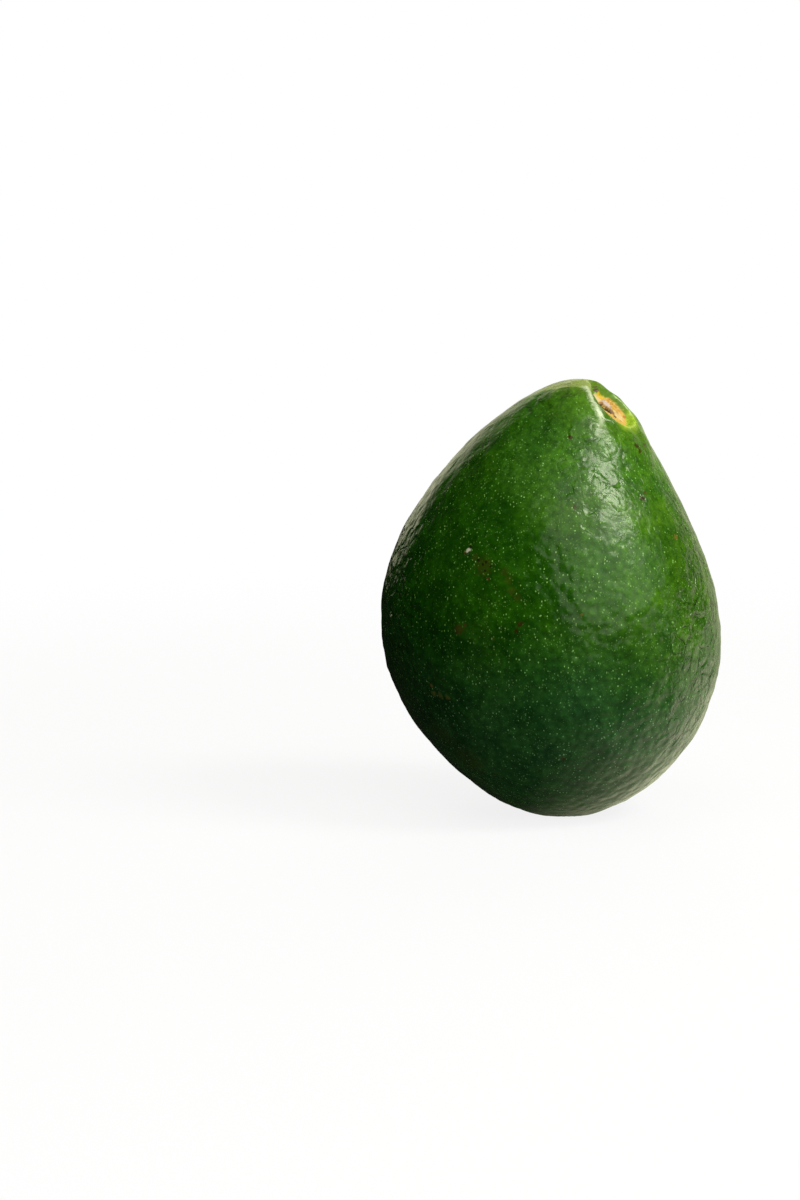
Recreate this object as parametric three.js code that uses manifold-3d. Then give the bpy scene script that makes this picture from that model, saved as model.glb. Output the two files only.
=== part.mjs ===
// A whole green avocado, grown in one piece. It rests on a small flat spot at its broad end, and the
// round scar that the stem left on its narrow end faces up and to the right.
// Millimetres. +X is right, +Y is away from the front and +Z is up. The origin is on the surface that
// the fruit rests on, under the middle of its outline.

import * as THREE from 'three';
import { mergeVertices } from 'three/addons/utils/BufferGeometryUtils.js';
import Module from 'manifold-3d';

// Driving sizes of the body
const length = 98.8; // along its own axis, blossom end to stem end
const breadth = 76.8; // left to right
const depth = 74.5; // front to back
const leanLeft = THREE.MathUtils.degToRad(13.9); // the axis from upright
const taper = 0.096; // how much narrower it is towards the stem, as a share of its width
const roundness = 0.113; // how much narrower than an ellipsoid it is towards both ends
const bow = 0.195; // how far both ends bow to the right, as a share of half the breadth
const nod = 0.216; // how far the stem end nods to the right and the other end to the left
const restAcross = 1.25; // the body's middle lies this far left of the middle of its outline
const restHeight = 47.85; // the body's middle above the surface that it rests on

// Low swellings of the skin: the distance between them and their height
const swellings = [
  { spacing: 19, height: 0.1 },
  { spacing: 9.5, height: 0.07 },
];

// Stem scar: where it is on the body and which way it faces
const scarPlace = new THREE.Vector3(0.473, -0.248, 0.846).normalize();
const scarFacing = new THREE.Vector3(0.625, -0.33, 0.707).normalize();
const scarSink = 0.7; // its plane below the bare body
const ring = { along: 0.5, across: 0.6, squeeze: 1.05 }; // its middle, and how much narrower across
const lip = { radius: 6.5, width: 1.4, height: 0.35 };
const floor = { radius: 4.6, wallRadius: 6.0, depth: 1.0 };
const stub = { along: -1.3, across: 1.1, radius: 1.6, height: 0.8 };
const crease = { start: [-4.9, -0.6], end: [-6.7, 5.2], width: 0.95, depth: 1.1 };
const shoulder = { width: 8.5, change: 4, narrowAt: THREE.MathUtils.degToRad(100) }; // lip to bare skin
const scarReach = 25; // nothing further below the scar's plane belongs to it

// Shallow folds that run out from the scar's lip
const folds = { count: 9, height: 0.14, reach: 17, turn: 0.6 };

// Hollow at the blossom end
const blossomPlace = new THREE.Vector3(0.12, -0.1, -0.99).normalize();
const blossom = { width: 4, depth: 0.5 };

// Facets: rows run from the middle of the scar to the far side, columns run round it
const columns = 76;
const rows = 68;
const scarRows = 0.25; // share of the rows on the scar and its lip
const scarAngle = 0.19; // radians from the scar's middle to the outside of its lip

const away = new THREE.Vector3(0, 1, 0); // from the front

// Point of the bare body for a point s of the unit sphere: an ellipsoid whose sections shrink towards
// the stem and towards both ends, on an axis bent sideways by a square and a cube, then leaned
function barePoint(s) {
  const width = 1 - taper * s.z - roundness * s.z ** 2;
  const x = (breadth / 2) * (s.x * width + bow * s.z ** 2 + nod * s.z ** 3);
  const y = (depth / 2) * s.y * width;
  const z = (length / 2) * s.z;
  return new THREE.Vector3(x, y, z).applyAxisAngle(away, -leanLeft);
}

// The scar's own frame: its middle, across it to the back, and along it down to the right
const scarMiddle = barePoint(scarPlace).addScaledVector(scarFacing, -scarSink);
const scarAcross = away.clone().projectOnPlane(scarFacing).normalize();
const scarAlong = scarAcross.clone().cross(scarFacing);

// Rises and falls from -1 to 1 through space, evenly in all directions
function wave(point, spacing) {
  const { x, y, z } = point.clone().multiplyScalar((2 * Math.PI) / spacing);
  const sum = Math.sin(x) * Math.cos(y) + Math.sin(y) * Math.cos(z) + Math.sin(z) * Math.cos(x);
  const largestSum = 1.5;
  return sum / largestSum;
}

function bell(distance, width) {
  return Math.exp(-((distance / width) ** 2));
}

// Height above the scar's plane: a round lip, a sunken floor with a wall, the stub where the stem's
// vessels ended, and a crease that runs out across the lip
function scarHeight(along, across, radius) {
  const fromStub = Math.hypot(along - stub.along, across - stub.across);
  const [startAlong, startAcross] = crease.start;
  const runAlong = crease.end[0] - startAlong;
  const runAcross = crease.end[1] - startAcross;
  const run = (along - startAlong) * runAlong + (across - startAcross) * runAcross;
  const share = THREE.MathUtils.clamp(run / (runAlong ** 2 + runAcross ** 2), 0, 1);
  const fromCrease = Math.hypot(
    along - startAlong - share * runAlong,
    across - startAcross - share * runAcross,
  );
  return (
    lip.height * bell(radius - lip.radius, lip.width) -
    floor.depth * (1 - THREE.MathUtils.smoothstep(radius, floor.radius, floor.wallRadius)) +
    stub.height * bell(fromStub ** 2, stub.radius ** 2) -
    crease.depth * bell(fromCrease, crease.width)
  );
}

// Adds the scar and the folds round it to a point of the skin
function withScar(point) {
  const fromMiddle = point.clone().sub(scarMiddle);
  const height = fromMiddle.dot(scarFacing);
  if (height < -scarReach) return point;
  const along = fromMiddle.dot(scarAlong);
  const across = fromMiddle.dot(scarAcross);
  const radius = Math.hypot(along - ring.along, (across - ring.across) * ring.squeeze);
  const angle = Math.atan2(across, along);
  const shoulderWidth = shoulder.width - shoulder.change * Math.cos(angle - shoulder.narrowAt);
  const { smoothstep } = THREE.MathUtils;
  const flat = 1 - smoothstep(radius, lip.radius, lip.radius + shoulderWidth);
  const begun = smoothstep(radius, lip.radius, lip.radius + lip.width);
  const ended = smoothstep(radius, lip.radius, folds.reach);
  const fold = folds.height * Math.sin(folds.count * angle + folds.turn) * Math.max(begun - ended, 0);
  const rise = (scarHeight(along, across, radius) - height) * flat + fold;
  return point.addScaledVector(scarFacing, rise);
}

// Point of the finished skin for a point s of the unit sphere
function skinPoint(s) {
  const point = barePoint(s);
  const outward = point.clone().normalize();
  const toBlossom = point.distanceTo(barePoint(blossomPlace));
  let rise = -blossom.depth * bell(toBlossom, blossom.width);
  for (const { spacing, height } of swellings) rise += height * wave(point, spacing);
  return withScar(point.addScaledVector(outward, rise));
}

// Angle from the scar's middle for a share of the rows: even over the scar, wider beyond it
function rowAngle(share) {
  if (share <= scarRows) return scarAngle * (share / scarRows);
  const rest = (share - scarRows) / (1 - scarRows);
  const start = (scarAngle / scarRows) * ((1 - scarRows) / (Math.PI - scarAngle));
  return scarAngle + (Math.PI - scarAngle) * rest * (start + (1 - start) * rest * (2 - rest));
}

// The skin as one closed surface: a sphere with its pole turned to the scar, each point moved out
function skinGeometry() {
  const sphere = new THREE.SphereGeometry(1, columns, rows);
  sphere.deleteAttribute('normal');
  sphere.deleteAttribute('uv');
  const geometry = mergeVertices(sphere);
  const pole = new THREE.Vector3(0, 1, 0);
  const turn = new THREE.Quaternion().setFromUnitVectors(pole, scarPlace);
  const position = geometry.attributes.position;
  const s = new THREE.Vector3();
  for (let i = 0; i < position.count; i++) {
    s.fromBufferAttribute(position, i);
    const angle = rowAngle(s.angleTo(pole) / Math.PI);
    const round = Math.atan2(s.x, s.z);
    s.setFromSphericalCoords(1, angle, round).applyQuaternion(turn);
    position.setXYZ(i, ...skinPoint(s));
  }
  return geometry;
}

// Flat spot: what lies below the surface that the fruit rests on is cut away
const wasm = await Module();
wasm.setup();

function toSolid(geometry) {
  const vertProperties = new Float32Array(geometry.attributes.position.array);
  const triVerts = new Uint32Array(geometry.index.array);
  return new wasm.Manifold(new wasm.Mesh({ numProp: 3, vertProperties, triVerts }));
}

function toGeometry(solid) {
  const { vertProperties, triVerts } = solid.getMesh();
  const geometry = new THREE.BufferGeometry();
  geometry.setAttribute('position', new THREE.BufferAttribute(vertProperties, 3));
  geometry.setIndex(new THREE.BufferAttribute(triVerts, 1));
  geometry.computeVertexNormals();
  return geometry;
}

function belowSurface() {
  const block = new THREE.BoxGeometry(breadth, depth, length);
  block.translate(0, 0, -restHeight - length / 2);
  block.deleteAttribute('normal');
  block.deleteAttribute('uv');
  return mergeVertices(block);
}

const fruit = toSolid(skinGeometry()).subtract(toSolid(belowSurface()));

const skin = new THREE.MeshStandardMaterial({ color: 0x2c5a14, roughness: 0.4, metalness: 0 });
const avocado = new THREE.Mesh(toGeometry(fruit), skin);
avocado.name = 'avocado';
avocado.position.set(-restAcross, 0, restHeight);

const group = new THREE.Group();
group.add(avocado);

export default group;
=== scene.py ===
import itertools
import math

import bpy
import numpy as np
from mathutils import Matrix, Vector


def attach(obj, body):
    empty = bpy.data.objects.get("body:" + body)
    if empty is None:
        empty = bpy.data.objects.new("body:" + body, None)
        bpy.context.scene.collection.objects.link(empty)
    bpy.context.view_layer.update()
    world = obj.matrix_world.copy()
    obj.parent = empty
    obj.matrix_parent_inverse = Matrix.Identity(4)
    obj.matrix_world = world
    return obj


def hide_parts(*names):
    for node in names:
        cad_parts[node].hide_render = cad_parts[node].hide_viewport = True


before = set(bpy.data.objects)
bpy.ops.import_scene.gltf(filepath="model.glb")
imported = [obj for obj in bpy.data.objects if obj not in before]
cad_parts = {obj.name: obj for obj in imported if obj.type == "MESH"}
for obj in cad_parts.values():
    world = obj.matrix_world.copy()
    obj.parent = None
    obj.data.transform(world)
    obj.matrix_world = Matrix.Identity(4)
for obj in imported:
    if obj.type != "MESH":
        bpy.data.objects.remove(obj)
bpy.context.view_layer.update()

mm = 0.001             # shapes are worked out in millimetres and made in metres


# The fruit's body, with the same sizes as the solid
bodyShape = {
    "length": 98.8,        # along its own axis
    "breadth": 76.8,       # left to right
    "depth": 74.5,         # front to back
    "leanLeft": 13.9,      # degrees
    "taper": 0.096,        # narrower towards the stem
    "roundness": 0.113,    # narrower towards both ends
    "bow": 0.195,          # both ends bow to the right
    "nod": 0.216,          # the stem end nods to the right, the other end to the left
    "restAcross": 1.25,    # the body's middle, left of the middle of its outline
    "restHeight": 47.85,   # the body's middle above the surface
    "swellings": ((19, 0.1), (9.5, 0.07)),   # distance between low swellings, and their height
    "blossomPlace": (0.12, -0.1, -0.99),
    "blossomWidth": 4,
    "blossomDepth": 0.5,
}

# The scar that the stem left
scarShape = {
    "place": (0.473, -0.248, 0.846),
    "facing": (0.625, -0.33, 0.707),
    "sink": 0.7,
    "ringAlong": 0.5, "ringAcross": 0.6, "squeeze": 1.05,
    "lipRadius": 6.5, "lipWidth": 1.4, "lipHeight": 0.35,
    "floorRadius": 4.6, "wallRadius": 6.0, "floorDepth": 1.0,
    "stubAlong": -1.3, "stubAcross": 1.1, "stubRadius": 1.6, "stubHeight": 0.8,
    "creaseStart": (-4.9, -0.6), "creaseEnd": (-6.7, 5.2), "creaseWidth": 0.95, "creaseDepth": 1.1,
    "shoulderWidth": 8.5, "shoulderChange": 4, "shoulderNarrowAt": 100,
    "reach": 25,
    "folds": 9, "foldHeight": 0.14, "foldReach": 17, "foldTurn": 0.6,
    "pits": ((-2.2, -0.5), (-1.5, -0.6), (-0.9, -0.5), (-0.2, -0.2), (0.4, 0.1), (2.0, 0.4)),
    "pitWidth": 0.4, "pitDepth": 0.4,
    "fibres": 23, "fibreHeight": 0.06, "fibresFrom": (1.5, 3), "fibresTo": (4.5, 5.5),
    "topReach": 6,       # how far below its plane the scar's details may be
    "ridgeRadius": 8.0, "ridgeWidth": 0.85, "ridgeHeight": 0.55,   # a sharper ridge on the near side
    "ridgeFacing": -140, "ridgeSpread": 48,
    # Points along the near ridge's pale worn skin and the painted highlight on it
    "wornHighlightLine": ((-7.8, -1.2), (-5.5, -4.4), (-3.2, -6.7), (-0.7, -8.6), (0.2, -11.6)),   # along it
}

# Relief of the skin, finer than the solid has it
skinRelief = {
    "columns": 444, "rows": 222,         # facets round the scar and away from it
    "scarRows": 0.15, "scarAngle": 0.2,  # share of the rows that the scar takes, and its angle
    "plateSize": 3.8, "plateTilt": 0.05,
    "plateEdge": 0.5,                    # share of a plate over which its tilt ends
    "crackDepth": 0.012, "crackWidth": 0.11,
    "bendSize": 2.6, "bendBy": 1.1,      # the plates' outlines are bent
    "crackCells": (0.35, 0.8),           # which cells' random numbers have cracks beside them
    "patchSize": 11, "patchFade": (0.3, 0.7), "patchLeast": 0.35,   # rougher and calmer patches
    "plateFull": 14, "plateGone": 52,    # distance from the scar where the plates end
    "plateLeft": 0.2,                    # their height beyond it
    "rimFrom": 18, "rimFull": 30,        # distance to the left or right where they are strong again
    "pebbleSize": 2.7, "pebbleHeight": 0.13, "pebbleDome": (0.1, 0.85),
    "stemCalm": 28, "stemPebbly": 46,    # distance from the scar where the pebbles begin and are full
    "stemLeast": 0.2,                    # their height nearer than that
    "calmPlace": (22.5, -21, 15), "calmFrom": 7, "calmTo": 15,   # a smoother patch on the right flank
    "calmLeast": 0.25,                   # the pebbles' height in it
    "besideLip": 3,                      # width of the bare ring round the lip
    "seed": 7,
}


def smooth(value, low, high):
    # 0 below low, 1 above high, and between them t squared times 3 - 2t
    t = np.clip((value - low) / (high - low), 0, 1)
    return t * t * (3 - 2 * t)


def atLeast(least, share):
    # Least at no share, 1 at a full share, and straight between them
    return least + (1 - least) * share


def bell(distance, width):
    # 1 at no distance, falling off as e to minus the square of distance over width
    return np.exp(-((distance / width) ** 2))


def unit(vector):
    # The vector divided by its length
    vector = np.asarray(vector, float)
    return vector / np.linalg.norm(vector, axis=-1, keepdims=True)


def barePoint(s):
    # An ellipsoid whose sections shrink by 1 - taper z - roundness z squared, with its axis bent
    # sideways by bow z squared + nod z cubed, then leaned to the left about Y
    b = bodyShape
    x, y, z = s[..., 0], s[..., 1], s[..., 2]
    width = 1 - b["taper"] * z - b["roundness"] * z ** 2
    across = b["breadth"] / 2 * (x * width + b["bow"] * z ** 2 + b["nod"] * z ** 3)
    deep = b["depth"] / 2 * y * width
    up = b["length"] / 2 * z
    lean = math.radians(b["leanLeft"])
    return np.stack([across * math.cos(lean) - up * math.sin(lean), deep,
                     across * math.sin(lean) + up * math.cos(lean)], axis=-1)


def wave(point, spacing):
    # sin x cos y + sin y cos z + sin z cos x over its largest value: even swellings in all directions
    x, y, z = np.moveaxis(point * (2 * math.pi / spacing), -1, 0)
    largestSum = 1.5
    return (np.sin(x) * np.cos(y) + np.sin(y) * np.cos(z) + np.sin(z) * np.cos(x)) / largestSum


def lattice(cube, seed):
    # Three steady random numbers from 0 to 1 for each whole-number cube, by mixing its indices' bits
    x, y, z = np.moveaxis(cube.astype(np.int64), -1, 0)
    bits = (x * 374761393 + y * 668265263 + z * 2147483647 + seed * 974634777) & 0xFFFFFFFF
    numbers = []
    for turn in (1274126177, 2246822519, 3266489917):
        bits = ((bits ^ (bits >> 15)) * turn) & 0xFFFFFFFF
        bits = bits ^ (bits >> 13)
        numbers.append((bits & 0xFFFFFF) / 0xFFFFFF)
    return np.stack(numbers, axis=-1)


def cloud(point, size, seed):
    # Soft noise from 0 to 1: the random numbers at the 8 corners of a cube, blended smoothly
    place = point / size
    low = np.floor(place)
    t = place - low
    t = t * t * (3 - 2 * t)
    total = 0
    for corner in itertools.product((0, 1), repeat=3):
        corner = np.array(corner)
        share = np.prod(np.where(corner, t, 1 - t), axis=-1)
        total = total + share * lattice(low + corner, seed)[..., 0]
    return total


def cells(point, size, seed):
    # One random point in each cube: the distances to the nearest and second nearest, in cubes,
    # the way to the nearest, and three random numbers that its cell keeps
    place = point / size
    low = np.floor(place)
    nearest = np.full(point.shape[:-1], 9.0)
    second = nearest.copy()
    way = np.zeros(point.shape)
    own = np.zeros(point.shape)
    for step in itertools.product((-1, 0, 1), repeat=3):
        cube = low + np.array(step)
        offset = place - cube - lattice(cube, seed)
        distance = np.linalg.norm(offset, axis=-1)
        closer = distance < nearest
        second = np.where(closer, nearest, np.minimum(second, distance))
        nearest = np.where(closer, distance, nearest)
        way = np.where(closer[..., None], offset, way)
        own = np.where(closer[..., None], lattice(cube, seed + 1), own)
    return nearest, second, way, own


scarFacing = unit(scarShape["facing"])
scarMiddle = barePoint(unit(scarShape["place"])) - scarShape["sink"] * scarFacing
awayFromFront = np.array([0.0, 1.0, 0.0])
scarAcross = unit(awayFromFront - (awayFromFront @ scarFacing) * scarFacing)
scarAlong = np.cross(scarAcross, scarFacing)


def scarPlan(point):
    # Where a point lies over the scar: along it, down to the right, across it, to the back, and above it
    fromMiddle = point - scarMiddle
    return fromMiddle @ scarAlong, fromMiddle @ scarAcross, fromMiddle @ scarFacing


def ringRadius(along, across):
    # Distance from the middle of the lip's ring, which is a little narrower across
    c = scarShape
    return np.hypot(along - c["ringAlong"], (across - c["ringAcross"]) * c["squeeze"])


def fromLine(along, across, start, end):
    # Distance from a straight line between two points of the scar's plane
    run = np.subtract(end, start)
    share = np.clip(((along - start[0]) * run[0] + (across - start[1]) * run[1]) / (run @ run), 0, 1)
    return np.hypot(along - start[0] - share * run[0], across - start[1] - share * run[1])


def scarHeight(along, across, radius):
    # A round lip, less a sunken floor with a wall, plus the stub, less the crease across the lip
    c = scarShape
    fromStub = np.hypot(along - c["stubAlong"], across - c["stubAcross"])
    fromCrease = fromLine(along, across, c["creaseStart"], c["creaseEnd"])
    height = c["lipHeight"] * bell(radius - c["lipRadius"], c["lipWidth"])
    height = height - c["floorDepth"] * (1 - smooth(radius, c["floorRadius"], c["wallRadius"]))
    height = height + c["stubHeight"] * bell(fromStub ** 2, c["stubRadius"] ** 2)
    return height - c["creaseDepth"] * bell(fromCrease, c["creaseWidth"])


def withScar(point):
    # The skin near the scar is drawn to the scar's own height along the way that it faces, fully
    # inside the lip and less and less over the shoulder; shallow folds run out from the lip
    c = scarShape
    along, across, height = scarPlan(point)
    radius = ringRadius(along, across)
    angle = np.arctan2(across, along)
    width = c["shoulderWidth"] - c["shoulderChange"] * np.cos(angle - math.radians(c["shoulderNarrowAt"]))
    flat = 1 - smooth(radius, c["lipRadius"], c["lipRadius"] + width)
    begun = smooth(radius, c["lipRadius"], c["lipRadius"] + c["lipWidth"])
    ended = smooth(radius, c["lipRadius"], c["foldReach"])
    fold = c["foldHeight"] * np.sin(c["folds"] * angle + c["foldTurn"]) * np.maximum(begun - ended, 0)
    rise = (scarHeight(along, across, radius) - height) * flat + fold
    return point + (rise * (height > -c["reach"]))[..., None] * scarFacing


def skinPoint(s):
    # The bare body with its swellings, the hollow at the blossom end, and the scar
    b = bodyShape
    point = barePoint(s)
    toBlossom = np.linalg.norm(point - barePoint(unit(b["blossomPlace"])), axis=-1)
    rise = -b["blossomDepth"] * bell(toBlossom, b["blossomWidth"])
    for spacing, height in b["swellings"]:
        rise = rise + height * wave(point, spacing)
    return withScar(point + rise[..., None] * unit(point))


def skinDirections():
    # A grid on the unit sphere: rows run from the scar to the far side, close together over the scar
    r = skinRelief
    share = np.arange(1, r["rows"]) / r["rows"]
    rest = np.clip((share - r["scarRows"]) / (1 - r["scarRows"]), 0, 1)
    start = r["scarAngle"] / r["scarRows"] * (1 - r["scarRows"]) / (math.pi - r["scarAngle"])
    beyond = (math.pi - r["scarAngle"]) * rest * (start + (1 - start) * rest * (2 - rest))
    angle = np.where(rest > 0, r["scarAngle"] + beyond, r["scarAngle"] * share / r["scarRows"])
    turn = np.linspace(0, 2 * math.pi, r["columns"], endpoint=False)
    angle, turn = np.meshgrid(angle, turn, indexing="ij")
    pole = unit(scarShape["place"])
    side = unit(np.cross(awayFromFront, pole))
    other = np.cross(pole, side)
    return (np.cos(angle)[..., None] * pole + (np.sin(angle) * np.cos(turn))[..., None] * side
            + (np.sin(angle) * np.sin(turn))[..., None] * other)


def gridNormals(grid):
    # Cross product of the ways to the next row and to the next column
    nextColumn = np.roll(grid, -1, axis=1) - np.roll(grid, 1, axis=1)
    nextRow = np.gradient(grid, axis=0)
    normal = unit(np.cross(nextRow, nextColumn))
    outward = np.sign(np.sum(normal * grid))
    return normal * outward


def skinWrinkles(point):
    # Heights of the fine relief, and how deep in a crease each point is, for the painted crease shade:
    # tilted plates with cracks between them near the stem, and round pebbles all over
    r = skinRelief
    along, across, height = scarPlan(point)
    toScar = np.sqrt(along ** 2 + across ** 2 + height ** 2)
    lip = scarShape["lipRadius"]
    outside = smooth(ringRadius(along, across), lip, lip + r["besideLip"])
    bends = [cloud(point, r["bendSize"], r["seed"] + k) - 0.5 for k in (11, 12, 13)]
    bent = point + r["bendBy"] * np.stack(bends, axis=-1)
    patchCloud = cloud(point, r["patchSize"], r["seed"] + 2)
    patchy = atLeast(r["patchLeast"], smooth(patchCloud, *r["patchFade"]))

    aside = smooth(np.abs(point[..., 0]), r["rimFrom"], r["rimFull"])
    fewer = (1 - r["plateLeft"]) * smooth(toScar, r["plateFull"], r["plateGone"])
    plates = np.maximum(1 - fewer, aside) * patchy
    nearest, second, way, own = cells(bent, r["plateSize"], r["seed"])
    gap = smooth(second - nearest, 0, r["plateEdge"])
    tilt = np.sum((own - 0.5) * 2 * way, axis=-1) * r["plateSize"] * r["plateTilt"]
    crack = bell(second - nearest, r["crackWidth"]) * smooth(own[..., 0], *r["crackCells"])
    wrinkle = plates * (tilt * gap - r["crackDepth"] * crack)

    nearest, second, way, own = cells(bent, r["pebbleSize"], r["seed"] + 5)
    dome = 1 - smooth(nearest, *r["pebbleDome"])
    toCalm = np.linalg.norm(point - np.array(r["calmPlace"]), axis=-1)
    pebble = r["pebbleHeight"] * (0.5 + own[..., 1]) * (dome - 0.5) * (0.4 + 0.6 * patchy)
    pebble = pebble * atLeast(r["calmLeast"], smooth(toCalm, r["calmFrom"], r["calmTo"]))
    pebble = pebble * atLeast(r["stemLeast"], smooth(toScar, r["stemCalm"], r["stemPebbly"]))
    return outside * (wrinkle + pebble), outside * np.clip(plates * crack, 0, 1)


def scarDetail(along, across, radius):
    # Pits in the stub's near side, and fibres that run out from the stub to the wall
    c = scarShape
    detail = 0
    for pitAlong, pitAcross in c["pits"]:
        fromPit = np.hypot(along - pitAlong, across - pitAcross)
        detail = detail - c["pitDepth"] * bell(fromPit, c["pitWidth"])
    angle = np.arctan2(across - c["stubAcross"], along - c["stubAlong"])
    fibres = np.sin(c["fibres"] * angle + 2 * np.sin(5 * angle)) * smooth(radius, *c["fibresFrom"])
    return detail + c["fibreHeight"] * fibres * (1 - smooth(radius, *c["fibresTo"]))


def nearRidge(along, across, radius):
    # A bell across the ring at the ridge's radius, times a bell round it on the near side
    c = scarShape
    angle = np.degrees(np.arctan2(across - c["ringAcross"], along - c["ringAlong"]))
    aside = (angle - c["ridgeFacing"] + 180) % 360 - 180
    over = bell(radius - c["ridgeRadius"], c["ridgeWidth"])
    return c["ridgeHeight"] * over * bell(aside, c["ridgeSpread"])


def solidMesh(name, grid):
    # Closes the grid round its columns and with a point at each end, and turns its faces outwards
    rows, columns = grid.shape[:2]
    ends = np.stack([grid[0].mean(axis=0), grid[-1].mean(axis=0)])
    vertices = np.concatenate([grid.reshape(-1, 3), ends])
    index = np.arange(rows * columns).reshape(rows, columns)
    after = np.roll(index, -1, axis=1)
    quads = np.stack([index[:-1], index[1:], after[1:], after[:-1]], axis=-1).reshape(-1, 4)
    first = np.stack([np.full(columns, rows * columns), index[0], after[0]], axis=-1)
    last = np.stack([np.full(columns, rows * columns + 1), after[-1], index[-1]], axis=-1)
    a, b, c = (vertices[quads[:, k]] for k in (0, 1, 2))
    if np.sum(a * np.cross(b, c)) < 0:   # the volume that the faces enclose
        quads, first, last = quads[:, ::-1], first[:, ::-1], last[:, ::-1]
    mesh = bpy.data.meshes.new(name)
    mesh.from_pydata((vertices * mm).tolist(), [], quads.tolist() + first.tolist() + last.tolist())
    mesh.polygons.foreach_set("use_smooth", np.ones(len(mesh.polygons), bool))
    piece = bpy.data.objects.new(name, mesh)
    bpy.context.collection.objects.link(piece)
    return piece, vertices


def keepOnMesh(piece, name, values):
    # Stores a number or a vector for each vertex, for the materials to read
    kind, field = ("FLOAT_VECTOR", "vector") if values.ndim == 2 else ("FLOAT", "value")
    store = piece.data.attributes.new(name, kind, "POINT")
    store.data.foreach_set(field, values.astype(np.float32).ravel())


def buildFruit():
    # The smooth body moved out along its normals by the relief, cut flat at the bottom, and what the
    # materials read: the place over the scar, the distance from the worn line with its painted highlight,
    # and the creases that get painted shade
    b = bodyShape
    base = skinPoint(skinDirections())
    normal = gridNormals(base)
    along, across, height = scarPlan(base)
    radius = ringRadius(along, across)
    onTop = np.abs(height) < scarShape["topReach"]
    wrinkle, crease = skinWrinkles(base)
    wrinkle = wrinkle + np.where(onTop, nearRidge(along, across, radius), 0)
    inRing = onTop & (radius < scarShape["lipRadius"])
    wrinkle = wrinkle + np.where(inRing, scarDetail(along, across, radius), 0)
    grid = base + wrinkle[..., None] * normal
    grid = grid + np.array([-b["restAcross"], 0, b["restHeight"]])
    grid[..., 2] = np.maximum(grid[..., 2], 0)   # the flat spot that it rests on
    piece, vertices = solidMesh("avocadoSkin", grid)
    inBody = vertices - np.array([-b["restAcross"], 0, b["restHeight"]])
    along, across, height = scarPlan(inBody)
    keepOnMesh(piece, "scarPlan", np.stack((along, across, height), axis=-1))
    stretches = zip(scarShape["wornHighlightLine"], scarShape["wornHighlightLine"][1:])
    toLine = np.min([fromLine(along, across, start, end) for start, end in stretches], axis=0)
    keepOnMesh(piece, "fromWornHighlightLine", toLine)
    atEnds = np.zeros(2)   # the points that close the grid
    keepOnMesh(piece, "crease", np.concatenate([crease.ravel(), atEnds]))
    return piece, vertices


fruit, skinVertices = buildFruit()
print("skin:", len(fruit.data.vertices), "vertices and", len(fruit.data.polygons), "faces")


# Colours of the skin, in linear light
skinColours = {
    "dark": (0.010, 0.062, 0.001),
    "middle": (0.019, 0.088, 0.002),
    "light": (0.042, 0.120, 0.004),
    "bluish": (0.014, 0.074, 0.021),
    # Paler skin round the stem end, partly painted light from above
    "stemEndAndTopLight": (0.160, 0.260, 0.022),
    # Pale cap on the top: paler skin with a painted reflection of the bright wall
    "paleCapAndSheen": (0.300, 0.355, 0.105),
    "lenticel": (0.280, 0.540, 0.150),
    "lowLenticel": (0.240, 0.500, 0.260),
    # Painted shade for the creases and cracks
    "crease": (0.004, 0.020, 0.001),
}

# How the green varies: spacings in millimetres, and where each pattern fades in, with the shares there
greenPattern = {
    "broadSize": 22, "patchySize": 6.5, "fineSize": 1.4,
    "middle": (0.36, 0.64),
    "light": (0.4, 1.5), "lightRight": 0.017, "lightUp": 0.006, "lightBroad": 0.6,
    "bluish": (-0.7, 0.1, 0.0, 0.9), "bluishUp": -0.02, "bluishBroad": 0.8,
    # Painted sheen: a paler patch on the right of the front
    "sheenPatchMiddle": (14, -31, 61),   # middle of a paler patch on the right of the front
    "lowLenticels": (20, 50, 1.0, 0.0),
    "speckShare": 0.45, "dotShare": 0.9, "creaseShare": 0.3, "crackShadeShare": 0.4,
    "mark": (0.45, 1.0), "raggedSize": 0.7, "raggedBy": 2.4,   # the marks' edges
}

# Shades that multiply the green: what each goes by, where it is nothing, where it is full, and the shade
shades = (
    ("patchy", 0.48, 0.6, (1.35, 1.22, 1.2)),
    ("patchy", 0.48, 0.36, (0.68, 0.8, 0.85)),
    ("fine", 0.5, 0.66, (1.4, 1.3, 1.3)),
    ("fine", 0.5, 0.34, (0.7, 0.78, 0.8)),
    # Paler neck near the stem, partly a painted sheen
    ("toScar", 34, 16, (1.3, 1.35, 1.5)),
    # Painted shade: darker on the left side
    ("right", -12, -36, (0.42, 0.75, 0.9)),
    # Painted sheen on the right of the front
    ("toPaleMiddle", 17, 4, (1.2, 1.3, 1.3)),
    # Painted light on the pebbles' tops and painted shade in their hollows
    ("bump", 0.4, 0.15, (1.13, 1.12, 1.15)),
    ("bump", 0.4, 0.7, (0.9, 0.92, 0.94)),
)

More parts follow.
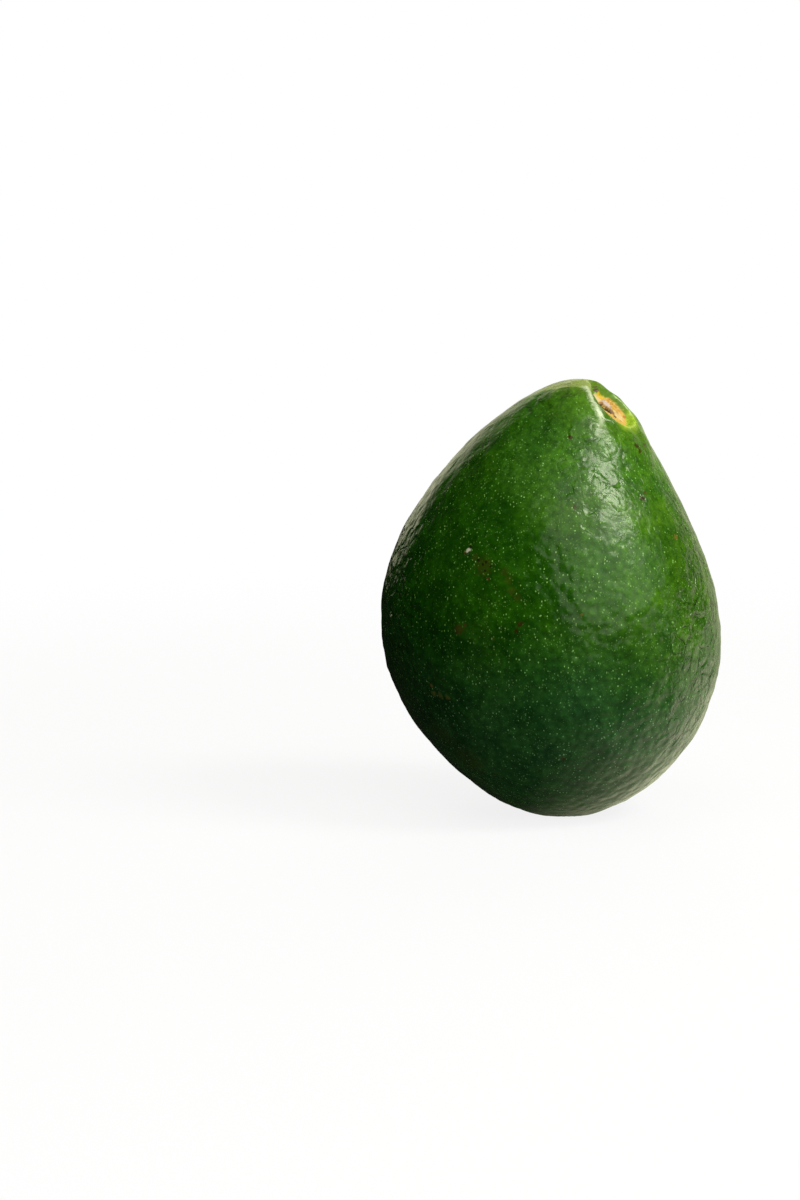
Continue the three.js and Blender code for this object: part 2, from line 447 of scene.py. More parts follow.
# Relief that is too fine for the facets, and gloss; lengths are in millimetres
skinGrain = {
    "dotSpacing": 0.72, "dotRadius": 0.18, "dotHeight": 0.02,     # lenticels
    "speckSpacing": 0.55, "speckRadius": 0.13,                    # and small ones between them
    "dotLean": -8, "dotStretch": 0.7, "dotCore": 0.55, "dotStrength": (0.05, 0.8),
    "crowdSize": 5, "crowded": (0.38, 0.6, 0.35, 1.0),            # where they are dense
    "plateSize": 4.2, "plateTilt": 0.12, "plateEdge": 0.2,
    "bendSize": 2.4, "bendBy": 2.2,          # the plates' outlines are bent
    "crackWidth": 0.07, "crackDepth": 0.032,
    "brokenSize": 3.5, "broken": (0.45, 0.6),
    "bumpSpacing": 2.0, "bumpHeight": 0.28, "bumpRounding": 0.5,
    "foldSize": 2.3, "foldHeight": 0.3,
    "granule": 0.45, "granuleHeight": 0.012,
    "nearStem": 0.1,                         # plates and cracks far from the stem
    "rimRight": (20, 31), "rimLeft": (-36, -24, 0.7, 0.0), "rimPlates": 2.3,
    "calmLeast": 0.3,
    "pebblyPatch": 14, "pebblyShift": 30, "pebblyRight": (0, 25, 0.55, 1.0),
    "pebblyRim": (0, 1, 1.0, 0.5), "pebblyStem": 0.25,
    "foldRim": (0, 1, 0.25, 1.5), "foldStem": (24, 40, 0.9, 0.0),
    "crackAway": 0.25,                       # share of the cracks' depth away from the flanks
    "roughness": (0.17, 0.25), "glossSize": 4.5, "gloss": (0.35, 0.65),
    "stemRougher": 0.07, "fleshRougher": 0.3, "specular": 0.4,
}

# Colours of the scar
scarColours = {
    "margin": (0.400, 0.550, 0.055),
    "lime": (0.240, 0.380, 0.020),
    "paleWall": (0.440, 0.600, 0.240),
    "farLip": (0.085, 0.190, 0.010),
    "flesh": (0.620, 0.370, 0.085),
    "cream": (0.680, 0.500, 0.270),
    "gold": (0.680, 0.430, 0.020),
    "rust": (0.400, 0.150, 0.030),
    # Painted shade in the crease at the scar's left end
    "creaseEndShade": (0.110, 0.060, 0.055),
    "stub": (0.560, 0.430, 0.440),
    "stubShade": (0.180, 0.090, 0.070),
    "pit": (0.030, 0.010, 0.005),
    "fibre": (0.300, 0.110, 0.025),
    # Pale worn skin with a painted highlight, along the near ridge
    "wornAndHighlight": (0.700, 0.760, 0.580),
    "shade": (0.020, 0.055, 0.004),
}

# Where they begin and end, in millimetres along, across or above the scar, or from its ring's middle:
# from, to, and the shares at both
scarFades = {
    "onTop": (-6, -3),
    "collarOut": (6.5, 19, 0.6, 0.0), "collarFront": (-7, 1, 0.25, 1.0),
    "collarLow": (-12, -4), "collarRight": (0, 7, 1.0, 0.45),
    "capLine": (-1.7, -1.3), "capRight": (-1.4, 0, 1.0, 0.0),
    "capLow": (-17, -6, 0.0, 0.75), "capBack": (1, 11, 1.0, 0.0),
    "downSlope": (1, 5),
    "lime": (-0.8, 0.6, 0.6, 0.0), "limeLeft": (-1, 3, 0.2, 1.0),
    "margin": (-0.5, 0.4, 1.0, 0.0),
    "wallOut": (6.4, 7.2, 1.0, 0.0), "wallBack": (2, 4), "wallRight": (3, 5, 0.85, 0.0),
    "streak": (0.1, 0.35, 0.9, 0.0), "streakLeft": (-2, 0), "streakBack": (3.5, 5),
    "wornAndHighlight": (-0.1, 1.25, 0.72, 0.0), "wornHighlightWide": (-11, -8, 0.5, 1.0),
    "wornHighlightEnd": (-11.5, -8.0, 0.25, 1.0),
    "flesh": (4.6, 5.0, 1.0, 0.0), "fibrous": (0.55, 0.7, 0.0, 0.4),
    "patch": (0.6, 1.05), "pit": (0.35, 0.6, 0.95, 0.0),
}

# Edges of the same colours, and the noise that makes them uneven
scarEdges = {
    "wobbleSize": 1.3, "wobbleBy": 1.4, "lineWobble": 0.5, "patchWobble": 0.6,
    "capBendFrom": 11, "capBend": 0.8, "capBlurSize": 4, "capBlur": 8,
    "capBackFrom": 1, "capNarrows": 0.5, "capEnd": -5.2, "capEndMoves": 0.3,
    "lime": 5.9, "limeWider": 1.6, "margin": 5.2, "marginWider": 1.1, "streak": 5.9,
    "wornHighlightGrain": 0.8, "wornHighlightRagged": 2.6, "fibreGrain": 0.7,
}

# Patches on the scar, in the order they are painted: colour, how far along and across the scar, radius
# and strength
scarPatches = (
    ("shade", -5.6, 0.6, 0.9, 0.5),
    # Painted shade along the crease
    ("creaseEndShade", -5.1, 2.8, 0.75, 0.95),
    ("creaseEndShade", -5.7, 4.0, 0.5, 0.7),
    ("cream", -3.4, 0.8, 1.5, 0.9),
    ("cream", -4.4, 1.5, 0.7, 0.9),
    ("cream", 2.4, 1.9, 2.0, 0.75),
    ("gold", -4.0, 2.7, 0.7, 0.8),
    ("gold", -3.1, 3.2, 0.7, 0.8),
    ("gold", -2.1, 3.6, 0.7, 0.75),
    ("gold", -3.0, 2.4, 0.6, 0.4),
    ("rust", -1.2, 4.6, 0.6, 0.4),
    ("rust", -0.2, 4.7, 0.6, 0.5),
    ("rust", 0.9, 4.7, 0.6, 0.5),
    ("rust", 2.1, 4.5, 0.6, 0.4),
    ("fibre", 0.6, 3.3, 0.7, 0.25),
    ("fibre", 1.9, 3.0, 0.6, 0.5),
    ("stubShade", 0.6, 1.0, 1.2, 0.9),
    ("stub", -1.5, 1.2, 1.5, 0.95),
    ("stub", -0.5, 1.5, 1.1, 0.8),
    ("fibre", -2.6, 0.0, 0.6, 0.8),
    ("rust", 3.9, 3.6, 0.5, 0.9),
    ("rust", 3.6, 0.5, 0.5, 0.5),
    ("lime", 4.9, 3.8, 0.7, 0.8),
    ("lime", 5.5, 2.6, 0.9, 0.9),
    ("lime", 5.7, 1.2, 0.8, 0.8),
)

# Marks on the skin: their colours, and for each mark its colour, how far right and how high it is on
# the front, its radius and strength
markColours = {
    "white": (0.620, 0.610, 0.520),
    "black": (0.010, 0.007, 0.004),
    "red": (0.036, 0.012, 0.004),
    "brown": (0.090, 0.040, 0.012),
    "olive": (0.046, 0.062, 0.006),
    "tan": (0.210, 0.110, 0.030),
    "moss": (0.130, 0.140, 0.025),
}
marks = (
    ("olive", -16.0, 61.2, 2.6, 0.6),
    ("olive", -18.0, 63.2, 1.0, 0.6),
    ("black", -17.7, 62.1, 0.4, 0.8),
    ("black", -16.5, 61.4, 0.45, 0.8),
    ("black", -15.4, 62.2, 0.4, 0.7),
    ("black", -14.8, 60.8, 0.4, 0.7),
    ("black", -16.2, 59.9, 0.4, 0.7),
    ("brown", -15.1, 58.9, 0.5, 0.7),
    ("olive", -12.0, 60.0, 1.2, 0.5),
    ("olive", -10.9, 58.4, 1.2, 0.5),
    ("olive", -9.8, 56.5, 1.2, 0.5),
    ("olive", -8.9, 54.5, 1.2, 0.5),
    ("brown", -20.3, 63.9, 0.5, 0.7),
    ("white", -19.4, 64.3, 0.75, 0.95),
    ("black", -18.9, 65.2, 0.45, 0.9),
    ("red", -8.6, 49.0, 0.8, 0.85),
    ("red", -9.3, 47.6, 0.6, 0.8),
    ("red", 3.0, 88.6, 0.7, 0.9),
    ("red", 1.6, 17.6, 0.7, 0.8),
    ("brown", -21.9, 46.9, 1.5, 0.5),
    ("red", -22.6, 46.2, 0.5, 0.7),
    ("brown", -20.6, 47.9, 0.6, 0.6),
    ("brown", -14.2, 45.0, 0.5, 0.5),
    ("tan", -27.8, 33.2, 0.5, 0.7),
    ("moss", -27.3, 31.6, 0.9, 0.6),
    ("moss", -25.6, 30.9, 0.9, 0.5),
    ("moss", -24.0, 30.6, 0.9, 0.6),
    ("olive", -25.2, 20.9, 4.0, 0.3),
    ("olive", -19.3, 15.2, 5.0, 0.35),
    ("red", 18.6, 86.0, 0.9, 0.9),
    ("red", 19.2, 84.8, 0.8, 0.9),
    ("red", 20.6, 85.7, 0.9, 0.9),
    ("red", 19.3, 75.1, 0.9, 0.9),
    ("brown", 20.2, 75.9, 0.5, 0.7),
    ("tan", 27.2, 66.2, 0.8, 0.6),
    ("tan", 5.4, 51.2, 0.4, 0.5),
    ("red", 3.9, 74.0, 0.6, 0.7),
)


def make(tree, kind, sockets=None, **settings):
    # Adds a shader node, with its settings, and its sockets filled with values or links
    node = tree.nodes.new("ShaderNode" + kind)
    for name, value in settings.items():
        setattr(node, name, value)
    for name, value in (sockets or {}).items():
        if isinstance(value, bpy.types.NodeSocket):
            tree.links.new(value, node.inputs[name])
        else:
            node.inputs[name].default_value = value
    return node


def calc(tree, operation, a, b=0.0):
    # One step of arithmetic on numbers or links
    return make(tree, "Math", {0: a, 1: b}, operation=operation).outputs[0]


def plus(tree, a, b):
    return calc(tree, "ADD", a, b)


def times(tree, a, b):
    return calc(tree, "MULTIPLY", a, b)


def fade(tree, value, low, high, start=0.0, end=1.0):
    # start below low, end above high, and a smooth S between them
    sockets = {"Value": value, "From Min": low, "From Max": high, "To Min": start, "To Max": end}
    return make(tree, "MapRange", sockets, interpolation_type="SMOOTHSTEP").outputs[0]


def growing(tree, value, nothing, full):
    # 0 at nothing and 1 at full, whichever of them is the larger
    if nothing < full:
        return fade(tree, value, nothing, full)
    return fade(tree, value, full, nothing, 1.0, 0.0)


def blend(tree, share, a, b, mode="MIX"):
    # From a to b by the share, or a multiplied by b
    def paint(colour):
        return colour if isinstance(colour, bpy.types.NodeSocket) else (*colour, 1)
    node = make(tree, "Mix", data_type="RGBA", blend_type=mode)
    for socket, value in ((0, share), (6, paint(a)), (7, paint(b))):
        if isinstance(value, bpy.types.NodeSocket):
            tree.links.new(value, node.inputs[socket])
        else:
            node.inputs[socket].default_value = value
    return node.outputs[2]


def noise(tree, place, size, detail=2.0, roughness=0.5):
    # Soft noise from 0 to 1, with details down to size over 2 to the power of detail
    sockets = {"Vector": place, "Scale": 1 / size, "Detail": detail, "Roughness": roughness}
    return make(tree, "TexNoise", sockets).outputs[0]


def centred(tree, value):
    # Less a half, so that noise goes both ways
    return calc(tree, "SUBTRACT", value, 0.5)


def distanceTo(tree, place, point):
    # The straight distance
    node = make(tree, "VectorMath", {0: place, 1: point}, operation="DISTANCE")
    return node.outputs["Value"]


def onFront(right, up):
    # The skin's nearest vertex to a place on the front, in millimetres
    front = skinVertices[skinVertices[:, 1] < 0]
    return front[np.argmin(np.hypot(front[:, 0] - right, front[:, 2] - up))]


def dots(tree, place, spacing, radius):
    # Round dots: near the points of a Voronoi pattern, each with its own strength
    g = skinGrain
    cell = make(tree, "TexVoronoi", {"Vector": place, "Scale": 1 / spacing})
    strength = make(tree, "SeparateColor", {0: cell.outputs["Color"]}).outputs[0]
    reach = radius / spacing
    inside = fade(tree, cell.outputs["Distance"], reach * g["dotCore"], reach, 1.0, 0.0)
    crowded = fade(tree, noise(tree, place, g["crowdSize"] * spacing, 2), *g["crowded"])
    return times(tree, times(tree, inside, crowded), fade(tree, strength, *g["dotStrength"]))


def platesAndCracks(tree, place):
    # Tilted plates and the cracks between them: inside each Voronoi cell the height rises along the
    # cell's own random direction, and falls off at its edge
    g = skinGrain
    half = (0.5, 0.5, 0.5)
    warp = make(tree, "TexNoise", {"Vector": place, "Scale": 1 / g["bendSize"], "Detail": 2.0})
    warp = make(tree, "VectorMath", {0: warp.outputs["Color"], 1: half}, operation="SUBTRACT").outputs[0]
    bent = make(tree, "VectorMath", {0: warp, 1: (g["bendBy"],) * 3, 2: place}, operation="MULTIPLY_ADD")
    bent = bent.outputs[0]
    sockets = {"Vector": bent, "Scale": 1 / g["plateSize"]}
    cell = make(tree, "TexVoronoi", sockets)
    edge = make(tree, "TexVoronoi", sockets, feature="DISTANCE_TO_EDGE").outputs["Distance"]
    way = make(tree, "VectorMath", {0: cell.outputs["Color"], 1: half}, operation="SUBTRACT").outputs[0]
    offset = make(tree, "VectorMath", {0: bent, 1: cell.outputs["Position"]}, operation="SUBTRACT")
    offset = offset.outputs[0]
    rise = make(tree, "VectorMath", {0: way, 1: offset}, operation="DOT_PRODUCT").outputs["Value"]
    plate = times(tree, times(tree, rise, g["plateTilt"]), fade(tree, edge, 0.0, g["plateEdge"]))
    broken = fade(tree, noise(tree, place, g["brokenSize"], 1), *g["broken"])
    crack = times(tree, fade(tree, edge, 0.0, g["crackWidth"], 1.0, 0.0), broken)
    return plate, crack


def skinColour(tree, place, toScar, bump, dot, speck, crack):
    # Green that varies over centimetres and millimetres, with painted light on the bumps' tops and
    # painted shade in their hollows, pale lenticels, painted shade in creases and cracks, and marks
    c, p = skinColours, greenPattern
    right, _, up = make(tree, "SeparateXYZ", {0: place}).outputs
    broad = noise(tree, place, p["broadSize"], 3)
    green = blend(tree, fade(tree, broad, *p["middle"]), c["dark"], c["middle"])
    # Lighter green towards the right and the top, and where the broad noise is high
    rightAndUpward = plus(tree, times(tree, right, p["lightRight"]), times(tree, up, p["lightUp"]))
    rightAndUpward = plus(tree, rightAndUpward, times(tree, broad, p["lightBroad"]))
    green = blend(tree, fade(tree, rightAndUpward, *p["light"]), green, c["light"])
    low = plus(tree, times(tree, up, p["bluishUp"]), times(tree, broad, p["bluishBroad"]))
    green = blend(tree, fade(tree, low, *p["bluish"]), green, c["bluish"])
    goesBy = {
        "patchy": noise(tree, place, p["patchySize"], 4, 0.6),
        "fine": noise(tree, place, p["fineSize"], 3, 0.65),
        "toScar": toScar,
        "right": right,
        "toPaleMiddle": distanceTo(tree, place, p["sheenPatchMiddle"]),
        "bump": bump,
    }
    for name, nothing, full, shade in shades:
        green = blend(tree, growing(tree, goesBy[name], nothing, full), green, shade, "MULTIPLY")
    pale = blend(tree, fade(tree, up, *p["lowLenticels"]), c["lenticel"], c["lowLenticel"])
    green = blend(tree, times(tree, speck, p["speckShare"]), green, pale)
    green = blend(tree, times(tree, dot, p["dotShare"]), green, pale)

    # Painted shade: darker in the creases and cracks
    crease = make(tree, "Attribute", attribute_name="crease").outputs["Fac"]
    green = blend(tree, times(tree, crease, p["creaseShare"]), green, c["crease"])
    green = blend(tree, times(tree, crack, p["crackShadeShare"]), green, c["crease"])

    ragged = times(tree, centred(tree, noise(tree, place, p["raggedSize"], 3, 0.7)), p["raggedBy"])
    for name, markRight, markUp, markRadius, strength in marks:
        point = tuple(onFront(markRight, markUp))
        away = times(tree, distanceTo(tree, place, point), 1 / markRadius)
        share = fade(tree, plus(tree, away, ragged), *p["mark"], strength, 0.0)
        green = blend(tree, share, green, markColours[name])
    return green


def paleCapAndSheenShare(tree, place, along, across, height, wobble):
    # A pale cap over the top, left of the scar, paler skin with a painted reflection of the bright wall:
    # it ends at a line in front and fades out behind
    e, f = scarEdges, scarFades
    bend = times(tree, calc(tree, "MINIMUM", plus(tree, along, e["capBendFrom"]), 0), e["capBend"])
    overLine = plus(tree, plus(tree, across, bend), times(tree, wobble, e["lineWobble"]))
    towardsBack = calc(tree, "MAXIMUM", plus(tree, across, -e["capBackFrom"]), 0)
    blurred = times(tree, centred(tree, noise(tree, place, e["capBlurSize"], 3)), e["capBlur"])
    narrowed = plus(tree, along, times(tree, towardsBack, e["capNarrows"]))
    capEnd = plus(tree, e["capEnd"], times(tree, towardsBack, e["capEndMoves"]))
    pastEnd = calc(tree, "SUBTRACT", narrowed, capEnd)
    paleCapAndSheen = times(tree, fade(tree, overLine, *f["capLine"]), fade(tree, pastEnd, *f["capRight"]))
    paleCapAndSheen = times(tree, paleCapAndSheen, fade(tree, plus(tree, height, blurred), *f["capLow"]))
    return times(tree, paleCapAndSheen, fade(tree, plus(tree, across, blurred), *f["capBack"]))


def wornAndHighlightShare(tree, place, across):
    # The worn line along the near ridge, pale worn skin with a painted highlight, ragged, and wider and
    # weaker at its lower end
    e, f = scarEdges, scarFades
    offLine = make(tree, "Attribute", attribute_name="fromWornHighlightLine").outputs["Fac"]
    ragged = times(tree, centred(tree, noise(tree, place, e["wornHighlightGrain"], 3, 0.7)), e["wornHighlightRagged"])
    offLine = plus(tree, times(tree, offLine, fade(tree, across, *f["wornHighlightWide"])), ragged)
    return times(tree, fade(tree, offLine, *f["wornAndHighlight"]), fade(tree, across, *f["wornHighlightEnd"]))


def scarPaint(tree, place, green):
    # From outside in: a yellow-green margin, a pale wall, flesh with its patches, and the pits
    c, s, e, f = scarColours, scarShape, scarEdges, scarFades
    plan = make(tree, "Attribute", attribute_name="scarPlan").outputs["Vector"]
    along, across, height = make(tree, "SeparateXYZ", {0: plan}).outputs
    flatPlan = make(tree, "CombineXYZ", {0: along, 1: across}).outputs[0]
    onTop = fade(tree, height, *f["onTop"])   # keeps the far side of the fruit out
    wobble = centred(tree, noise(tree, place, e["wobbleSize"], 3))
    radius = distanceTo(tree, flatPlan, (s["ringAlong"], s["ringAcross"], 0))
    radius = plus(tree, radius, times(tree, wobble, e["wobbleBy"]))

    # A paler collar round the stem end, partly painted light from above
    collar = times(tree, fade(tree, radius, *f["collarOut"]), fade(tree, across, *f["collarFront"]))
    collar = times(tree, times(tree, collar, fade(tree, height, *f["collarLow"])),
                   fade(tree, along, *f["collarRight"]))
    colour = blend(tree, collar, green, skinColours["stemEndAndTopLight"])
    # The pale cap, partly a painted reflection
    paleCapAndSheen = paleCapAndSheenShare(tree, place, along, across, height, wobble)
    colour = blend(tree, paleCapAndSheen, colour, skinColours["paleCapAndSheen"])
    downSlope = fade(tree, along, *f["downSlope"])
    limeEdge = plus(tree, e["lime"], times(tree, downSlope, e["limeWider"]))
    lime = fade(tree, calc(tree, "SUBTRACT", radius, limeEdge), *f["lime"])
    lime = times(tree, times(tree, lime, fade(tree, along, *f["limeLeft"])), onTop)
    colour = blend(tree, lime, colour, c["lime"])
    marginEdge = plus(tree, e["margin"], times(tree, downSlope, e["marginWider"]))
    margin = fade(tree, calc(tree, "SUBTRACT", radius, marginEdge), *f["margin"])
    colour = blend(tree, times(tree, margin, onTop), colour, c["margin"])
    wall = times(tree, fade(tree, radius, *f["wallOut"]), fade(tree, across, *f["wallBack"]))
    wall = times(tree, wall, fade(tree, along, *f["wallRight"]))
    colour = blend(tree, times(tree, wall, onTop), colour, c["farLip"])
    offStreak = calc(tree, "ABSOLUTE", calc(tree, "SUBTRACT", radius, e["streak"]))
    streakPlace = times(tree, fade(tree, along, *f["streakLeft"]), fade(tree, across, *f["streakBack"]))
    streak = times(tree, fade(tree, offStreak, *f["streak"]), streakPlace)
    colour = blend(tree, times(tree, streak, onTop), colour, c["paleWall"])
    # Painted highlight along the near ridge, over pale worn skin
    colour = blend(tree, times(tree, wornAndHighlightShare(tree, place, across), onTop), colour, c["wornAndHighlight"])

    inFlesh = times(tree, fade(tree, radius, *f["flesh"]), onTop)
    fibrous = fade(tree, noise(tree, place, e["fibreGrain"], 3, 0.7), *f["fibrous"])
    flesh = blend(tree, fibrous, c["flesh"], c["fibre"])
    colour = blend(tree, inFlesh, colour, flesh)
    uneven = times(tree, wobble, e["patchWobble"])
    for name, patchAlong, patchAcross, patchRadius, strength in scarPatches:
        away = distanceTo(tree, flatPlan, (patchAlong, patchAcross, 0))
        away = plus(tree, times(tree, away, 1 / patchRadius), uneven)
        share = times(tree, fade(tree, away, *f["patch"], strength, 0.0), onTop)
        colour = blend(tree, share, colour, c[name])
    for pitAlong, pitAcross in s["pits"]:
        away = plus(tree, distanceTo(tree, flatPlan, (pitAlong, pitAcross, 0)), uneven)
        colour = blend(tree, times(tree, fade(tree, away, *f["pit"]), onTop), colour, c["pit"])
    return colour, inFlesh


def skinMaterial():
    # Colours, gloss, and the finest relief through one Bump node
    g, r = skinGrain, skinRelief
    material = bpy.data.materials.new("greenSkinAndScar")
    material.use_nodes = True
    tree = material.node_tree
    shader = tree.nodes["Principled BSDF"]
    inMetres = make(tree, "TexCoord").outputs["Object"]
    place = make(tree, "VectorMath", {0: inMetres, "Scale": 1 / mm}, operation="SCALE").outputs[0]
    plan = make(tree, "Attribute", attribute_name="scarPlan").outputs["Vector"]
    toScar = make(tree, "VectorMath", {0: plan}, operation="LENGTH").outputs["Value"]
    right = make(tree, "SeparateXYZ", {0: place}).outputs[0]

    nearStem = fade(tree, toScar, r["plateFull"], r["plateGone"], 1.0, g["nearStem"])
    rimward = calc(tree, "MAXIMUM", fade(tree, right, *g["rimRight"]), fade(tree, right, *g["rimLeft"]))
    calmPlace = tuple(np.add(r["calmPlace"], (-bodyShape["restAcross"], 0, bodyShape["restHeight"])))
    toCalm = distanceTo(tree, place, calmPlace)
    calm = fade(tree, toCalm, r["calmFrom"], r["calmTo"], g["calmLeast"], 1.0)
    wrinkled = calc(tree, "MAXIMUM", nearStem, times(tree, times(tree, rimward, g["rimPlates"]), calm))

    stretched = make(tree, "Mapping", {"Vector": place, "Rotation": (0, math.radians(g["dotLean"]), 0),
                                       "Scale": (1, 1, g["dotStretch"])}).outputs[0]
    dot = dots(tree, stretched, g["dotSpacing"], g["dotRadius"])
    speck = dots(tree, place, g["speckSpacing"], g["speckRadius"])
    plate, crack = platesAndCracks(tree, place)
    crack = times(tree, crack, wrinkled)
    sockets = {"Vector": place, "Scale": 1 / g["bumpSpacing"], "Smoothness": g["bumpRounding"]}
    bump = make(tree, "TexVoronoi", sockets, feature="SMOOTH_F1").outputs["Distance"]
    green = skinColour(tree, place, toScar, bump, dot, speck, crack)
    colour, inFlesh = scarPaint(tree, place, green)
    tree.links.new(colour, shader.inputs["Base Color"])

    glossy = fade(tree, noise(tree, place, g["glossSize"], 3), *g["gloss"], *g["roughness"])
    softer = fade(tree, toScar, r["stemCalm"], r["stemPebbly"], g["stemRougher"], 0.0)
    rough = plus(tree, plus(tree, glossy, softer), times(tree, inFlesh, g["fleshRougher"]))
    tree.links.new(rough, shader.inputs["Roughness"])
    shader.inputs["Specular IOR Level"].default_value = g["specular"]

    patches = times(tree, noise(tree, place, g["pebblyPatch"], 1), g["pebblyShift"])
    pebbly = fade(tree, plus(tree, right, patches), *g["pebblyRight"])
    pebbly = times(tree, pebbly, fade(tree, rimward, *g["pebblyRim"]))
    pebbly = times(tree, pebbly, fade(tree, toScar, r["stemCalm"], r["stemPebbly"], g["pebblyStem"], 1.0))
    pebbly = times(tree, pebbly, calm)
    folded = calc(tree, "MAXIMUM", fade(tree, rimward, *g["foldRim"]), fade(tree, toScar, *g["foldStem"]))
    fold = calc(tree, "ABSOLUTE", centred(tree, noise(tree, place, g["foldSize"], 1.5)))
    deep = fade(tree, rimward, 0, 1, g["crackAway"] * g["crackDepth"], g["crackDepth"])
    height = times(tree, noise(tree, place, g["granule"], 2), g["granuleHeight"])
    height = plus(tree, height, times(tree, times(tree, bump, -g["bumpHeight"]), pebbly))
    height = plus(tree, height, times(tree, plate, wrinkled))
    height = plus(tree, height, times(tree, times(tree, fold, g["foldHeight"]), folded))
    height = calc(tree, "SUBTRACT", height, times(tree, crack, deep))
    height = plus(tree, height, times(tree, dot, g["dotHeight"]))
    normal = make(tree, "Bump", {"Height": height, "Strength": 1.0, "Distance": mm}).outputs[0]
    tree.links.new(normal, shader.inputs["Normal"])
    return material


fruit.data.materials.append(skinMaterial())
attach(fruit, "root")
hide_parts("avocado")
print("skin: material and marks done")


# Studio: where the camera stands, the lights and the pale floor
studio = {
    "aim": (-34.7, 0, 49.2),       # millimetres
    "distance": 805,
    "elevation": 8,                # degrees above level
    "lens": 105,
    "tint": (1.0, 1.0, 0.68),      # colour of all that the fruit mirrors, but for the lamps
    "lampTint": (0.97, 1.0, 0.80),
    "backWall": 1.0,               # brightness behind the fruit
    "frontWall": 0.004,            # and behind the camera
    "backFrom": (0.70, 1.0),       # how far behind the fruit a way has to point to reach that wall
    "leftWall": 0.005,
    "leftFrom": (-0.5, -0.2), "leftLean": 2.0,
    "rightWall": 0.55,
    "rightFrom": (0.1, 0.4), "rightBehind": (0.48, 0.85), "rightUp": (0.1, 0.35, 1.0, 0.2),
    "ceiling": 0.15,
    "ceilingFrom": (0.75, 0.95),
    "floorMirrored": 1.15,         # the floor beside the fruit, as its skin mirrors it
    "floorFar": 0.5,
    "floorInFront": 0.12,
    "floorLeft": 0.01,
    "floorLight": (0.05, 0.32),    # the light that the floor throws up, on the left and on the right
    "floorReach": 6.0,             # metres to each side
    "floorColour": (0.86, 0.82, 1.0),   # white in the lamps' light
    "shadow": 0.15,                # how much of the lamps' shadow the floor shows
    "shadowEnds": (0.15, 0.45),    # metres from the fruit, as in the four below
    "mirroredFront": (-0.06, -0.01), "mirroredBack": (0.06, 0.16),
    "mirroredLeft": (-0.01, 0.035), "lightLeft": (-0.15, 0.05),
}

# Lamps: the way to each from the fruit, its distance, size and power, and whether it shines back
lamps = {
    "key": {"way": (0.65, -0.30, 0.70), "distance": 1.0, "width": 0.27, "length": 0.42,
            "lengthWay": (0.70, 0.48, -0.52), "power": 5.6, "gloss": True},
    "panel": {"way": (0.585, -0.60, 0.545), "distance": 1.2, "width": 1.7, "length": 1.5,
              "lengthWay": (-0.2, 0, 1), "power": 8.8, "gloss": True},
    "glow": {"way": (0.74, -0.53, 0.42), "distance": 1.2, "width": 0.7, "length": 0.6,
             "lengthWay": (-0.2, 0, 1), "power": 0.5, "gloss": True},
    "front": {"way": (0.42, -0.77, 0.48), "distance": 1.5, "width": 1.4, "length": 1.4,
              "lengthWay": (0, 0, 1), "power": 6.5, "gloss": False},
    "top": {"way": (-0.25, -0.35, 0.90), "distance": 1.5, "width": 1.2, "length": 1.2,
            "lengthWay": (0, 1, 0), "power": 6, "gloss": False},
    "back": {"way": (0.20, 0.85, 0.50), "distance": 1.5, "width": 1.2, "length": 1.2,
             "lengthWay": (0, 0, 1), "power": 9, "gloss": False},
}


def addCamera():
    # It looks at the aim from the front and a little above, as in the photo
    s = studio
    camera = bpy.data.objects.new("camera", bpy.data.cameras.new("camera"))
    bpy.context.collection.objects.link(camera)
    rise = math.radians(s["elevation"])
    look = Vector((0, math.cos(rise), -math.sin(rise)))
    camera.location = Vector(s["aim"]) * mm - look * s["distance"] * mm
    camera.rotation_euler = look.to_track_quat("-Z", "Y").to_euler()
    camera.data.lens = s["lens"]
    camera.data.clip_start = 0.01
    bpy.context.scene.camera = camera


def addLamp(name, way, distance, width, length, lengthWay, power, gloss):
    # A lamp that faces the middle of the fruit, longer one way, which the camera doesn't see
    lamp = bpy.data.objects.new(name, bpy.data.lights.new(name, "AREA"))
    bpy.context.collection.objects.link(lamp)
    way = Vector(way).normalized()
    lamp.location = way * distance + Vector((0, 0, bodyShape["restHeight"] * mm))
    side = Vector(lengthWay).cross(way).normalized()
    lamp.rotation_euler = Matrix((side, way.cross(side), way)).transposed().to_euler()
    lamp.data.shape = "RECTANGLE"
    lamp.data.size = width
    lamp.data.size_y = length
    lamp.data.energy = power
    lamp.data.color = studio["lampTint"]
    lamp.visible_camera = False
    lamp.visible_glossy = gloss


def addWorld():
    # White walls and ceiling: bright behind the fruit, dim behind the camera and low on the left
    s = studio
    world = bpy.data.worlds.new("studio")
    bpy.context.scene.world = world
    world.use_nodes = True
    tree = world.node_tree
    axes = make(tree, "SeparateXYZ", {0: make(tree, "TexCoord").outputs["Generated"]})
    right, behind, up = axes.outputs
    walls = fade(tree, behind, *s["backFrom"], s["frontWall"], s["backWall"])
    rightWall = fade(tree, behind, *s["rightBehind"], 0.0, s["rightWall"])
    rightWall = times(tree, rightWall, fade(tree, right, *s["rightFrom"]))
    rightWall = times(tree, rightWall, fade(tree, up, *s["rightUp"]))
    walls = calc(tree, "MAXIMUM", walls, rightWall)
    walls = calc(tree, "MAXIMUM", walls, fade(tree, up, *s["ceilingFrom"], 0.0, s["ceiling"]))
    lowLeft = plus(tree, right, times(tree, up, s["leftLean"]))
    walls = times(tree, walls, fade(tree, lowLeft, *s["leftFrom"], s["leftWall"], 1.0))
    seen = make(tree, "LightPath").outputs["Is Camera Ray"]
    brightness = calc(tree, "MAXIMUM", walls, seen)
    tree.links.new(brightness, tree.nodes["Background"].inputs["Strength"])
    tree.links.new(blend(tree, seen, s["tint"], (1, 1, 1)), tree.nodes["Background"].inputs["Color"])


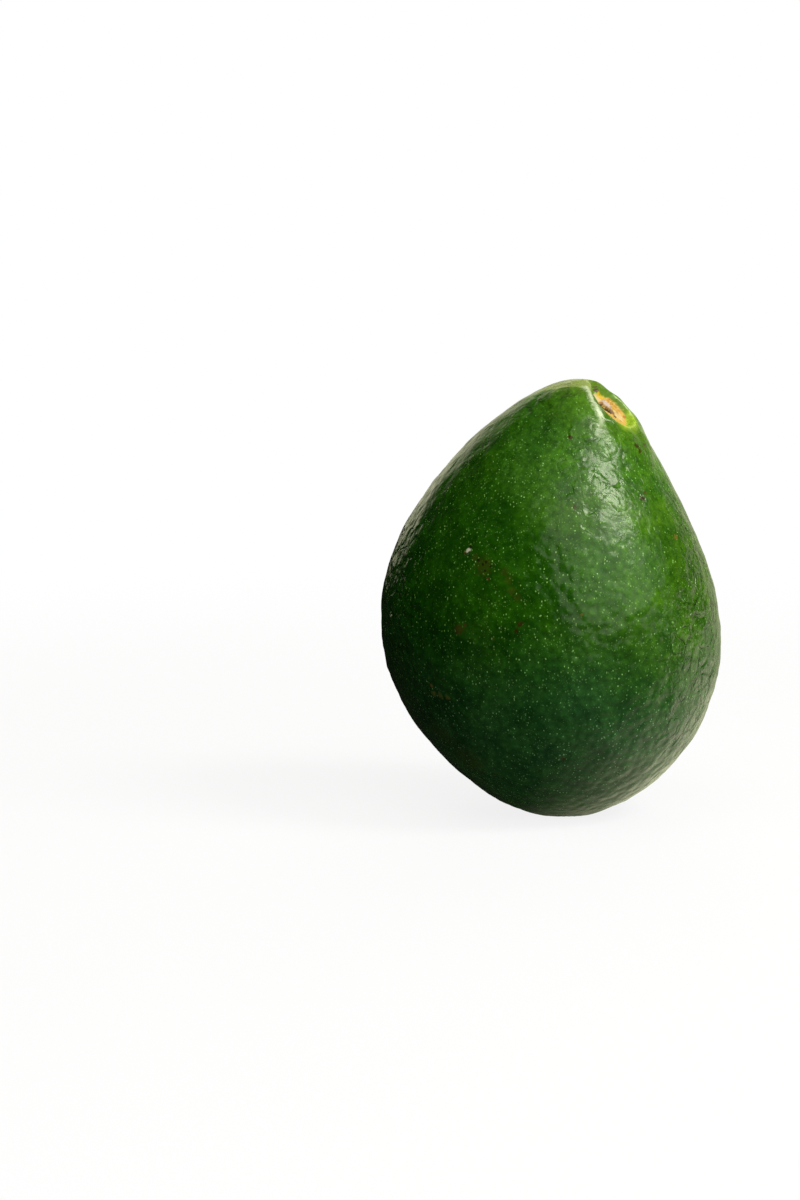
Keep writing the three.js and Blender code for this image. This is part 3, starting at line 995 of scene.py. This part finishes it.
def addFloor():
    # White, with a soft shadow; the fruit sees it bright behind itself and dim in front
    s = studio
    mesh = bpy.data.meshes.new("floor")
    reach = s["floorReach"]
    corners = [(-reach, -reach, 0), (reach, -reach, 0), (reach, reach, 0), (-reach, reach, 0)]
    mesh.from_pydata(corners, [], [(0, 1, 2, 3)])
    floor = bpy.data.objects.new("floor", mesh)
    bpy.context.collection.objects.link(floor)
    material = bpy.data.materials.new("paleFloor")
    material.use_nodes = True
    tree = material.node_tree
    tree.nodes.remove(tree.nodes["Principled BSDF"])
    place = make(tree, "TexCoord").outputs["Object"]
    right, behind, _ = make(tree, "SeparateXYZ", {0: place}).outputs
    lit = make(tree, "BsdfDiffuse", {"Color": (*s["floorColour"], 1)}).outputs[0]
    white = make(tree, "Emission", {"Color": (1, 1, 1, 1), "Strength": 1.0}).outputs[0]
    far = fade(tree, distanceTo(tree, place, (0, 0, 0)), *s["shadowEnds"], 1 - s["shadow"], 1.0)
    shown = make(tree, "MixShader", {0: far, 1: lit, 2: white}).outputs[0]
    mirrored = fade(tree, behind, *s["mirroredFront"], s["floorInFront"], s["floorMirrored"])
    mirrored = times(tree, mirrored, fade(tree, behind, *s["mirroredBack"], 1.0, s["floorFar"]))
    mirrored = times(tree, mirrored, fade(tree, right, *s["mirroredLeft"], s["floorLeft"], 1.0))
    thrown = fade(tree, right, *s["lightLeft"], *s["floorLight"])
    path = make(tree, "LightPath")
    glow = make(tree, "Mix", {0: path.outputs["Is Glossy Ray"], 2: thrown, 3: mirrored}).outputs[0]
    felt = make(tree, "Emission", {"Color": (*s["tint"], 1), "Strength": glow}).outputs[0]
    seen = path.outputs["Is Camera Ray"]
    surface = make(tree, "MixShader", {0: seen, 1: felt, 2: shown}).outputs[0]
    tree.links.new(surface, tree.nodes["Material Output"].inputs["Surface"])
    material.cycles.emission_sampling = "NONE"   # its glow depends on what looks at it
    mesh.materials.append(material)


addCamera()
for lampName, lampFacts in lamps.items():
    addLamp(lampName, **lampFacts)
addWorld()
addFloor()
bpy.context.scene.view_settings.view_transform = "Standard"
print("studio: camera, lights and floor done")
